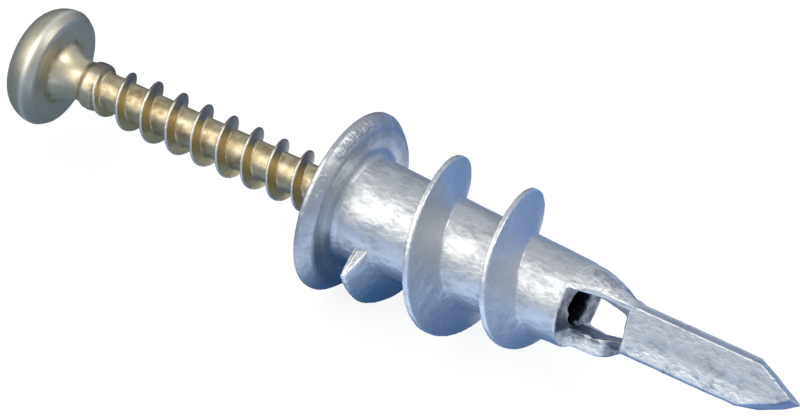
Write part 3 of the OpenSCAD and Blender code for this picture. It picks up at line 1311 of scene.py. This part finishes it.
    def _thread(self, threads: ThreadTree, material: Material) -> Object:
        """The coarse thread's rib.

        Args:
            threads: the thread tree.
            material: the casting's material.

        Returns:
            The rib.
        """
        root = self._root_at(self.thread_start)
        angle = math.pi - math.asin(self.flat_height / root) - math.radians(self.flat_turn)
        taper = (self.tube_r - self.tube_end_r) / self.tube_len
        place = {"Start": self.thread_start, "Start Angle": angle, "Turns": self.thread_turns}
        radii = {"Root Radius": root, "Root Taper": taper, "Crest Radius": self.crest_r}
        start = {"Lean": self.lean, "Flat Height": self.flat_height}
        values = {**place, **radii, **start, **dict(self.thread), "Pitch": self.pitch}
        return threads.make("coarse_thread", {**values, "Material": material})

    def _nose(self) -> Object:
        """Builds the rails round the window and the blade, cut to shape.

        Returns:
            The solid.
        """
        nose = slice_off(self._rail(self.upper_rail), (0, 0, 0), (0, -1, 0))
        combine(nose, slice_off(self._rail(self.lower_rail), (0, 0.001, 0), (0, 1, 0)), Cut.JOIN)
        combine(nose, self._blade_blank(), Cut.JOIN)
        for angle in (0, 180):
            for cutter in self._face_cuts():
                combine(nose, turned(cutter, angle), Cut.REMOVE)
        return combine(nose, self._window(), Cut.REMOVE)

    def _rail(self, outline: Points) -> Object:
        """A rail turned all the way round."""
        start, end = self.tube_len - self.end_wall, self.tube_end_r - 0.02
        foot = [(start, 0.0), (start, end), (self.tube_len, end)]
        return lathe("rail", [*foot, *outline, (outline[-1][0], 0.0)], segments=128)

    def _blade_blank(self) -> Object:
        """Builds the blade with its chamfers and ground point, before its faces are cut.

        Returns:
            The solid.
        """
        w, t, c, extra = self.blade_half_w, self.blade_half_t, self.chamfer, self.spare
        outline = [(-w, -t - extra), (w - c - extra, -t - extra), (w, c - t), (w, t + extra)]
        outline += [(c + extra - w, t + extra), (-w, t - c)]
        end = self.shoulder + self.point
        blank = prism("blade", outline, self.tube_len, end, "abx")
        corner, tip = (self.shoulder, w), (end, 0.0)
        knee = (self.shoulder + self.knee[0] * self.point, self.knee[1] * w + self.bulge)
        for near, other, side, relief in (
            (corner, tip, 1, self.back_relief),
            (corner, knee, -1, self.front_relief),
            (tip, knee, -1, self.front_relief),
        ):
            slant = math.atan2(abs(near[1] - other[1]), abs(near[0] - other[0]))
            lean = math.atan2(relief, 2 * t)
            level = math.cos(lean)
            normal = (level * math.sin(slant), side * level * math.cos(slant))
            slice_off(blank, (near[0], side * near[1], side * t), (*normal, -side * math.sin(lean)))
        return blank

    def _face_cuts(self) -> List[Object]:
        """Builds the cutters over one face.

        Returns:
            Those between the rails, down the upper rail and over the blunt one.
        """
        t, wall, far, end = self.blade_half_t, self.tube_len, 2 * REACH, self.window_end
        inner, narrow, dip = self.blunt_inner, self.blunt_inner - self.narrowing, t - self.dip_depth
        room = [(wall, -inner), (wall, self.sloped_inner), (far, self.sloped_inner), (far, -narrow)]
        room += [(end, -narrow), (self.window_knee, -inner)]
        over = [(t, end + self.dip_past)] + [(dip + b, end + x) for b, x in self.dip_floor]
        over += [(self.low_top, end - self.dip_len), (self.low_top, wall)]
        beyond = [(REACH, wall), (REACH, far), (t, far)]
        return [
            prism("room", room, t, REACH),
            prism("slope", [*self.ramp, *beyond], 0.0, REACH, "bxa"),
            prism("over", over + beyond, -REACH, 0.01, "bxa"),
        ]

    def _window(self) -> Object:
        """Builds the window's cutter, which is narrower towards the blade.

        Returns:
            The cutter.
        """
        half, narrow, end = self.window_half, self.window_half - self.narrowing, self.window_end
        side = [(self.tube_len, half), (self.window_knee, half)]
        side += [(end + x, narrow + a) for x, a in self.window_corner]
        return prism("window", side + [(x, -a) for x, a in reversed(side)], -REACH, REACH)

    def _bore(self) -> Object:
        """Builds the bore's cutter, with the uneven hole in the end wall.

        Returns:
            The cutter.
        """
        wall, spare, r = self.tube_len - self.end_wall, self.hole_spare, self.hole_r
        start, end = wall - spare, self.tube_len + spare
        profile = [(-REACH, 0.0), (-REACH, self.bore_r), (wall, self.bore_r), (wall, 0.0)]
        hole = [(start, 0.0), (start, r), (end, r), (end, 0.0)]
        hole = lathe("end_hole", hole, segments=72, uneven=self._ragged)
        return combine(lathe("bore", profile, segments=96), hole, Cut.JOIN)

    def _ragged(self, angle: float) -> float:
        """How uneven the end wall's hole is at an angle, as a factor on its radius."""
        return sum((high * math.sin(n * angle + at) for high, n, at in self.hole_waves), 1.0)

    def _store_zones(self, mesh: Mesh) -> None:
        """Stores where the casting's skin is bare and bright, partly as painted highlight, and
        where shade is painted on it.

        Args:
            mesh: the casting's mesh, in millimetres.
        """
        bare_and_lit, painted_shades, zone = self.bare_and_lit, self.painted_shades, self.zones
        half, wall_x, end = self.window_half, self.tube_len, self.window_end
        points = read_points(mesh)
        x, a, b = points.T
        radius, root, width = np.hypot(a, b), self._root_at(x), np.abs(a)
        blotch = noise_at(points, zone.blotch_scale)

        steep = np.abs(read_normals(mesh)[:, 0]) > zone.standing_slope
        smooth = np.maximum(radius > root + zone.standing_r, steep) | (x < zone.flange_x)
        smooth = relax(smooth.astype(float)[:, None], mesh, zone.spread_passes)[:, 0]
        side = a * np.sign(b)
        low = rise(-side, zone.low_side_a)
        blade = rise(x, zone.blade_x, end)
        # bare patches; more on the nose and the blade's lower side as painted highlight, less
        # inside the window under its painted shade
        bareness_and_light = np.where(x < wall_x, bare_and_lit.tube - bare_and_lit.smooth_less * smooth, bare_and_lit.nose)
        bareness_and_light = bareness_and_light + blade * (bare_and_lit.blade + bare_and_lit.blade_low_more * low - bareness_and_light)

        # painted shade: in the window, on its rails and end wall, blotchy beside it, in the dip and
        # in the bore
        nose = (x > wall_x + zone.nose_x) & (x < end)
        inside = fall(width, zone.window_a, half)
        wall = nose * inside * fall(b * -np.sign(a), zone.wall_b)
        blunt = a * b < 0
        blotchy_shade = nose * fall(width, zone.blotchy_shade_a, half) * blunt * rise(blotch, zone.blotchy_shade_noise)
        dip = blunt * rise(x, zone.dip_x, end) * nose * fall(np.abs(b), zone.dip_b)
        bore = (radius < self.bore_r + zone.bore_spare) & (x < wall_x - zone.bore_spare)
        end_wall = (np.abs(x - wall_x) < zone.end_wall_x) & (radius < zone.end_wall_r)
        end_wall &= width < half + zone.end_wall_a
        # painted shade in the flange's corner, on its outer face, along a groove line of the blade
        # and on the blade's upper half
        corner = fall(radius - root, zone.corner_up) * fall(x, zone.corner_x)
        corner *= radius > zone.corner_r
        edge = rise(radius, zone.edge_r) * fall(x, zone.edge_x)
        line = side - zone.streak_a + zone.streak_lean * (x - zone.streak_middle_x)
        streak = np.exp(-((line / zone.streak_half_a) ** 2)) * (zone.streak_least + blotch)
        streak = streak * rise(x, zone.streak_start_x) * fall(x, zone.streak_end_x)
        zones = (
            (painted_shades.window_wall, wall),
            (painted_shades.rails, nose * inside),
            (painted_shades.blotchy_shade, blotchy_shade),
            (painted_shades.dip, dip),
            (1.0, bore),
            (painted_shades.end_wall, end_wall),
            (painted_shades.corner, corner),
            (painted_shades.flange_edge, edge),
            (1.0, painted_shades.blade * blade * (1 - low) + painted_shades.streak * streak),
        )
        store(mesh, "bareness_and_light", bareness_and_light * (1 - bare_and_lit.window_less * np.maximum(wall, end_wall)))
        store(mesh, "painted_shade", np.maximum.reduce([amount * zone for amount, zone in zones]))

    def _add_burrs(self, casting: Object, burrs: BurrTree, material: Material) -> None:
        """Sets burrs on the blade's upper edges, its point and the flange's sloping band.

        Args:
            casting: the casting.
            burrs: the burr tree.
            material: the casting's material.
        """
        plan, w, t = self.burrs, self.blade_half_w, self.blade_half_t
        pick = random.Random(plan.seed)
        edge, point, band, specks = [], [], [], []
        for side in (1, -1):
            x = self.window_end + plan.edge_start
            while x < self.shoulder:
                edge.append((x, side * (w - plan.edge_in[0]), side * (t - plan.edge_in[1])))
                dense = x > self.shoulder - plan.dense_len
                x += pick.uniform(*plan.edge_gap) * (1.0 if dense else plan.sparse)
            for share in plan.point_shares:
                x, out = self.shoulder + share * self.point, w * (1 - share)
                point.append((x, side * (out - plan.point_in[0]), side * (t - plan.point_in[1])))
        for k in range(plan.band_count):
            stray = pick.uniform(-plan.band_stray, plan.band_stray)
            angle = plan.band_start + plan.band_step * k + stray
            r = pick.uniform(*plan.band_r)
            pair = (r, r + plan.band_pair)
            band += [plan.on_band(plan.band_level, reach, angle) for reach in pair]
        for _ in range(plan.speck_count):
            angle = pick.uniform(*plan.speck_sweep)
            specks.append(plan.on_band(plan.speck_level, pick.uniform(*plan.speck_r), angle))
        names = ("edge_burrs", "point_burrs", "band_burrs", "band_specks")
        for name, path, sizes in zip(names, (edge, point, band, specks), plan.sizes):
            values = {"Size": sizes[0], "Spread": sizes[1], "Seed": len(path)}
            extra = burrs.make(name, path, {**values, "Material": material})
            with editing(casting.data) as shape:
                shape.from_mesh(extra.data)
            bpy.data.objects.remove(extra)

    def _unevenness(self, x: float, a: float, b: float) -> float:
        """How uneven the casting is at a point: most on the nose and the blade's low side.

        Args:
            x: the way along the axis.
            a: the way across the blade.
            b: the way through the blade.

        Returns:
            A factor on the noise.
        """
        skin = self.skin
        if x < skin.tube_x:
            return skin.flange
        if x < skin.nose_x:
            return skin.tube
        if x <= skin.blade_x:
            return skin.nose
        low = min(max((-a if b > 0 else a) + skin.blade_low_a, 0.0), 1.0)
        return skin.blade + skin.blade_low_more * low


# ------------------------ the screw


@dataclass(frozen=True)
class ScrewZones:
    """Where the screw's skin, its painted highlights and its painted shade change, and how much. A
    pair is the two ends of a change.

    Names that end in x are measured from under the head, in r from the axis, and lifted from the
    thread's core.
    """

    flank_slope: tuple = (0.45, 0.85)
    flank_x: tuple = (2.0, 2.6)
    flank_r: tuple = (1.9, 2.3)
    lifted: tuple = (0.02, 0.2)
    head_r: tuple = (2.3, 2.9)
    head_x: tuple = (0.0, 0.4)
    # painted shade: the head's domed top gets less head colour
    top_less: float = 0.35
    top_x: tuple = (0.0, 0.4)
    # painted highlight along the head's ridge
    rim_x: float = 0.05
    rim_half: float = 0.22
    rim_r: tuple = (4.1, 4.4)
    rim: float = 0.9
    # painted highlight on the neck
    neck_start_x: tuple = (0.1, 0.5)
    neck_end_x: tuple = (2.6, 4.2)
    neck: float = 0.65
    # painted shade on the thread's upper side starts here
    upper_side_shade_x: float = 1.0
    upper: tuple = (0.3, 0.8)
    upper_x: float = 2.2
    under_x: float = 0.1
    least_r: float = 0.1


@dataclass
class Screw:
    """The pan head screw, turned part of the way into the anchor.

    An outline is a row of (x, radius) points: the head's lower side from its ridge, the neck from
    under the head.
    """

    under_head: float = -27.2
    head_r: float = 4.6
    head_h: float = 2.9
    head_round: float = 1.7
    head_sweep: float = 86.0
    head_steps: int = 12
    ridge: float = 0.85
    head_side: tuple = ((0.15, 4.59), (0.3, 4.54), (0.45, 4.46), (0.75, 4.27))
    neck: tuple = (
        *((0.02, 4.06), (0.08, 3.8), (0.03, 2.9), (0.06, 2.5), (0.15, 2.33), (0.33, 2.18)),
        *((0.55, 2.03), (0.8, 1.89), (1.05, 1.78), (1.35, 1.68), (1.7, 1.61), (2.0, 1.58)),
        *((2.35, 1.62), (2.58, 1.78), (2.75, 1.86), (3.2, 1.88), (3.55, 1.84), (3.75, 1.6)),
    )
    neck_len: float = 3.9
    core_r: float = 1.4
    crest_r: float = 2.28
    pitch: float = 2.3
    length: float = 35.0
    point_len: float = 4.0
    thread_start: float = 1.6
    thread: tuple = (
        *(("Crest Width", 0.17), ("Back Foot", 0.52), ("Front Foot", 0.52), ("Hollow", 1.3)),
        *(("Fade In", 2.6), ("Fade Power", 0.6), ("Fade Out", 0.3)),
        *(("Sink", 0.3), ("Steps", 1000)),
    )
    start_angle: float = 94.0
    thread_short: float = 0.5
    tip_more: float = 0.3
    tip_blunt: tuple = (0.15, 0.12)
    drive_span: float = 4.4
    drive_w: float = 1.0
    drive_depth: float = 2.0
    upward: tuple = (0.94, 0.342)
    voxel: float = 0.065
    uneven: tuple = ((1.2, 0.014), (0.4, 0.012))
    smooth_x: float = 2.5
    smooth_share: float = 0.3
    edge_full: float = 0.05
    triangles: int = 180_000
    zones: ScrewZones = ScrewZones()

    def build(self, threads: ThreadTree, material: Material) -> Object:
        """Builds the whole screw as one closed mesh.

        Args:
            threads: the thread tree.
            material: the screw's material.

        Returns:
            The piece, in millimetres in the axis frame.
        """
        screw = self._turned_blank()
        combine(screw, self._thread(threads, material), Cut.JOIN)
        depth = (-2 * REACH, self.under_head - self.head_h + self.drive_depth)
        cut_cross(screw, depth, self.drive_span, self.drive_w, angle=0)
        screw.name = "pan_head_screw"
        soften(screw, self.voxel, passes=2)
        roughen(screw.data, self.uneven, self._unevenness)
        return screw

    def dress(self, screw: Object, material: Material) -> None:
        """Args:
            screw: the built screw.
            material: its material.
        """
        # the crests' painted highlight is left out on the head and on the thread's upper side
        store_edges(screw.data, self.edge_full, self._upper_side_and_head(screw.data))
        self._store_zones(screw.data)
        thin_out(screw, self.triangles)
        finish_piece(screw, material, "screw", "screw")

    def _turned_blank(self) -> Object:
        """Turns the head, neck, core and tapered point as one profile.

        Returns:
            The solid.
        """
        x0, tip = self.under_head, self.under_head + self.length
        top, ridge, full = x0 - self.head_h, x0 - self.ridge, math.radians(self.head_sweep)
        profile = [(top, 0.0)]
        for k in range(self.head_steps + 1):
            angle = full * k / self.head_steps
            x = top + (ridge - top) * (1 - math.cos(angle)) / (1 - math.cos(full))
            out = self.head_round * math.sin(angle) / math.sin(full)
            profile.append((x, self.head_r - self.head_round + out))
        profile += [(ridge + x, r) for x, r in self.head_side]
        profile += [(x0 + x, r) for x, r in self.neck]
        profile += [(x0 + self.neck_len, self.core_r), (tip - self.point_len, self.core_r)]
        profile += [(tip - self.tip_blunt[0], self.tip_blunt[1]), (tip, 0.0)]
        return lathe("screw_blank", profile, segments=128)

    def _thread(self, threads: ThreadTree, material: Material) -> Object:
        """The screw's thread.

        Args:
            threads: the thread tree.
            material: the screw's material.

        Returns:
            The rib.
        """
        values = {
            "Start": self.under_head + self.thread_start,
            "Start Angle": math.radians(self.start_angle),
            "Turns": (self.length - self.thread_start - self.thread_short) / self.pitch,
            "Pitch": self.pitch,
            "Root Radius": self.core_r,
            "Crest Radius": self.crest_r,
            "Tip Start": self.under_head + self.length - self.point_len,
            "Tip Length": self.point_len + self.tip_more,
            "Material": material,
        }
        return threads.make("screw_thread", {**values, **dict(self.thread)})

    def _unevenness(self, x: float, a: float, b: float) -> float:
        """How uneven the screw is at a point: least on the head and the neck."""
        return self.smooth_share if x < self.under_head + self.smooth_x else 1.0

    def _upper_side_and_head(self, mesh: Mesh) -> np.ndarray:
        """Tells how far a point lies on the thread's upper side, or on the head: there the crests'
        painted highlight is left out, and on the thread's upper side painted shade goes.

        Args:
            mesh: the screw's mesh.

        Returns:
            A number from 0 to 1 for each point.
        """
        zone, under = self.zones, self.under_head
        x, a, b = read_points(mesh).T
        radius = np.maximum(np.hypot(a, b), zone.least_r)
        way = (self.upward[0] * a - self.upward[1] * b) / radius
        way = rise(way, zone.upper) * (x > under + zone.upper_x)
        return np.maximum(way, x < under + zone.under_x)

    def _store_zones(self, mesh: Mesh) -> None:
        """Stores where the head, the neck and the thread's flanks are, with the painted highlights
        on the neck and the head's ridge, and the painted shade on the head's top and the thread's
        upper side.

        Args:
            mesh: the screw's mesh, in millimetres.
        """
        zone, points = self.zones, read_points(mesh)
        radius = np.hypot(points[:, 1], points[:, 2])
        x = points[:, 0] - self.under_head
        side = rise(np.abs(read_normals(mesh)[:, 0]), zone.flank_slope)
        lifted = rise(radius, zone.lifted, self.core_r)
        flank = side * lifted * rise(x, zone.flank_x) * fall(radius, zone.flank_r)
        head = rise(radius, zone.head_r) * fall(x, zone.head_x)
        # painted shade on the head's domed top
        top = rise(-self.ridge - x, zone.top_x)
        # painted highlight along the head's ridge
        rim = np.exp(-(((x + self.ridge - zone.rim_x) / zone.rim_half) ** 2))
        rim *= rise(radius, zone.rim_r)
        # painted highlight on the neck
        neck = zone.neck * rise(x, zone.neck_start_x) * fall(x, zone.neck_end_x)
        store(mesh, "flank", flank)
        store(mesh, "head", head * (1 - zone.top_less * top))
        store(mesh, "neck", neck)
        # painted shade on the thread's upper side
        store(mesh, "upper_side_shade", self._upper_side_and_head(mesh) * lifted * (x > zone.upper_side_shade_x))
        store(mesh, "rim", zone.rim * rim)


# ------------------------ the studio


@dataclass
class Studio:
    """The floor, the lights, the surroundings and the camera.

    The floor is plain white to the camera. To the metal it shows painted reflections and glows
    with them: bands, each from one y to another, and spots of painted shadow under the object, each
    with a centre, an inner and an outer radius, and painted shade under the screw's head.
    """

    floor_z: float = -7.12
    floor_half: float = 1.5
    centre: tuple = (2.94, 0.783, 0.730)
    towards_camera: tuple = (0.423, -0.618, 0.663)
    distance: float = 1000.0
    view_width: float = 59.48
    floor_white: tuple = (0.86, 0.86, 0.86, 1.0)
    floor_shade: tuple = (0.22, 0.215, 0.205, 1.0)
    # painted reflections that only the metal sees
    floor_front: tuple = (0.49, 0.59, 0.76, 1.0)
    painted_reflection_bands: tuple = (
        (-0.0095, -0.006, (0.10, 0.18, 0.34, 1.0)),
        (-0.001, 0.003, (0.90, 0.91, 0.94, 1.0)),
        (0.009, 0.016, (0.11, 0.20, 0.39, 1.0)),
        (0.025, 0.06, (0.20, 0.31, 0.54, 1.0)),
    )
    # painted shadow on the floor under the flange and under the blade's point
    spots: tuple = (
        ((0.003, -0.0005), 0.0035, 0.0085, (0.035, 0.11, 0.25, 1.0)),
        ((0.035, 0.0005), 0.004, 0.0075, (0.12, 0.20, 0.40, 1.0)),
    )
    # painted shade in the floor's reflections under the screw's head
    reflected_shade_x: tuple = (-0.016, -0.006)
    reflected_shade_near: tuple = (0.15, 0.20, 0.27, 1.0)
    reflected_shade_far: tuple = (0.05, 0.06, 0.08, 1.0)
    reflected_shade_y: tuple = (0.012, 0.03)
    # the floor glows with its painted reflections, lighting the metal
    painted_floor_glow: float = 0.45
    world_low: tuple = (0.25, 0.32, 0.46, 1.0)
    world_high: tuple = (0.50, 0.53, 0.58, 1.0)
    world_heights: tuple = (-0.1, 0.5)
    bright: tuple = (1.3, 1.3, 1.27, 1.0)
    bright_way: tuple = (-0.42, -0.56, 0.71)
    bright_edge: tuple = (0.73, 0.92)
    lamps: tuple = (
        ("key", (-0.254, -0.272, 0.471), 0.36, 0.43, (1.0, 0.98, 0.94)),
        ("top", (0.278, 0.105, 0.467), 0.25, 0.6, (1.0, 0.99, 0.97)),
    )

    def build(self) -> None:
        """Sets the whole studio up."""
        self._camera()
        self._floor()
        self._surroundings()
        for lamp in self.lamps:
            self._lamp(*lamp)
        bpy.context.scene.view_settings.view_transform = "Standard"

    def _camera(self) -> None:
        """A long lens at the viewing angle."""
        direction = Vector(self.towards_camera).normalized()
        data = bpy.data.cameras.new("camera")
        data.lens = data.sensor_width * self.distance / self.view_width
        data.clip_end = 10.0
        camera = new_object("camera", data)
        camera.location = (Vector(self.centre) + direction * self.distance) * MM
        camera.rotation_euler = direction.to_track_quat("Z", "Y").to_euler()
        bpy.context.scene.camera = camera

    def _floor(self) -> None:
        """A wide pale floor that shows white to the camera and keeps the shadow; to the metal it
        shows painted reflections, painted shadow and painted shade, and glows with them.
        """
        s, z = self.floor_half, self.floor_z * MM
        mesh = bpy.data.meshes.new("floor")
        mesh.from_pydata([(-s, -s, z), (s, -s, z), (s, s, z), (-s, s, z)], [], [(0, 1, 2, 3)])
        graph = MaterialGraph("floor")
        x, y, _ = graph.parts(graph.coords)
        # painted reflections, painted shadow and painted shade, seen only by the metal
        painted_reflection = self.floor_front
        for low, high, colour in self.painted_reflection_bands:
            painted_reflection = graph.mix(graph.ramp(y, low, high, smooth=True), painted_reflection, colour)
        for centre, inner, outer, colour in self.spots:
            feeds = {0: graph.coords, 1: (*centre, z)}
            away = graph.out("ShaderNodeVectorMath", feeds, "Value", operation="DISTANCE")
            near = graph.ramp(away, inner, outer, 1.0, 0.0, smooth=True)
            painted_reflection = graph.mix(near, painted_reflection, colour)
        reflected_shade = graph.ramp(x, *self.reflected_shade_x, 1.0, 0.0, smooth=True)
        far = graph.ramp(y, *self.reflected_shade_y, smooth=True)
        painted_reflection = graph.mix(reflected_shade, painted_reflection, graph.mix(far, self.reflected_shade_near, self.reflected_shade_far))
        camera = graph.out("ShaderNodeLightPath", output="Is Camera Ray")
        # the painted reflections glow for all but the camera
        lit = graph.mix(self.painted_floor_glow, BLACK, painted_reflection)
        feeds = {
            "Base Color": graph.mix(camera, painted_reflection, self.floor_shade),
            "Emission Color": graph.mix(camera, lit, self.floor_white),
            "Emission Strength": 1.0,
            "Roughness": 1.0,
            "Specular IOR Level": 0.0,
        }
        mesh.materials.append(graph.shade(feeds))
        new_object("floor", mesh)

    def _surroundings(self) -> None:
        """White to the camera; for the object, white overhead and pale blue low down."""
        world = bpy.data.worlds.new("studio")
        bpy.context.scene.world = world
        world.use_nodes = True
        graph = NodeGraph(world.node_tree)
        way = graph.out("ShaderNodeTexCoord", output="Generated")
        height = graph.ramp(graph.parts(way)[2], *self.world_heights)
        tone = graph.mix(height, self.world_low, self.world_high)
        feeds = {0: way, 1: tuple(Vector(self.bright_way).normalized())}
        towards = graph.out("ShaderNodeVectorMath", feeds, "Value", operation="DOT_PRODUCT")
        glow = graph.ramp(towards, *self.bright_edge, smooth=True)
        tone = graph.mix(glow, tone, self.bright)
        camera = graph.out("ShaderNodeLightPath", output="Is Camera Ray")
        background = graph.tree.nodes["Background"].inputs
        graph.feed(background["Color"], graph.mix(camera, tone, WHITE))
        graph.feed(background["Strength"], 1.0)

    def _lamp(self, name: str, place: tuple, size: float, power: float, colour: tuple) -> None:
        """A square soft light aimed at the object.

        Args:
            name: the lamp's name.
            place: where it hangs, in metres.
            size: its side, in metres.
            power: its power in watts.
            colour: its colour.
        """
        data = bpy.data.lights.new(name, "AREA")
        data.shape = "SQUARE"
        data.size = size
        data.energy = power
        data.color = colour
        lamp = new_object(name, data)
        lamp.location = place
        aim = Vector(place) - Vector(self.centre) * MM
        lamp.rotation_euler = aim.to_track_quat("Z", "Y").to_euler()


def main() -> None:
    """Builds the studio, the finishes and the two pieces, in that order."""
    logging.basicConfig(level=logging.INFO, format="%(name)s: %(message)s")
    Studio().build()
    groups = ShaderGroups()
    zinc = CastZinc().build(groups)
    steel = YellowSteel().build(groups)
    threads = ThreadTree()
    anchor, screw = Anchor(), Screw()
    anchor.dress(anchor.build(threads, BurrTree(), zinc), zinc)
    screw.dress(screw.build(threads, steel), steel)


if __name__ == "__main__":
    main()
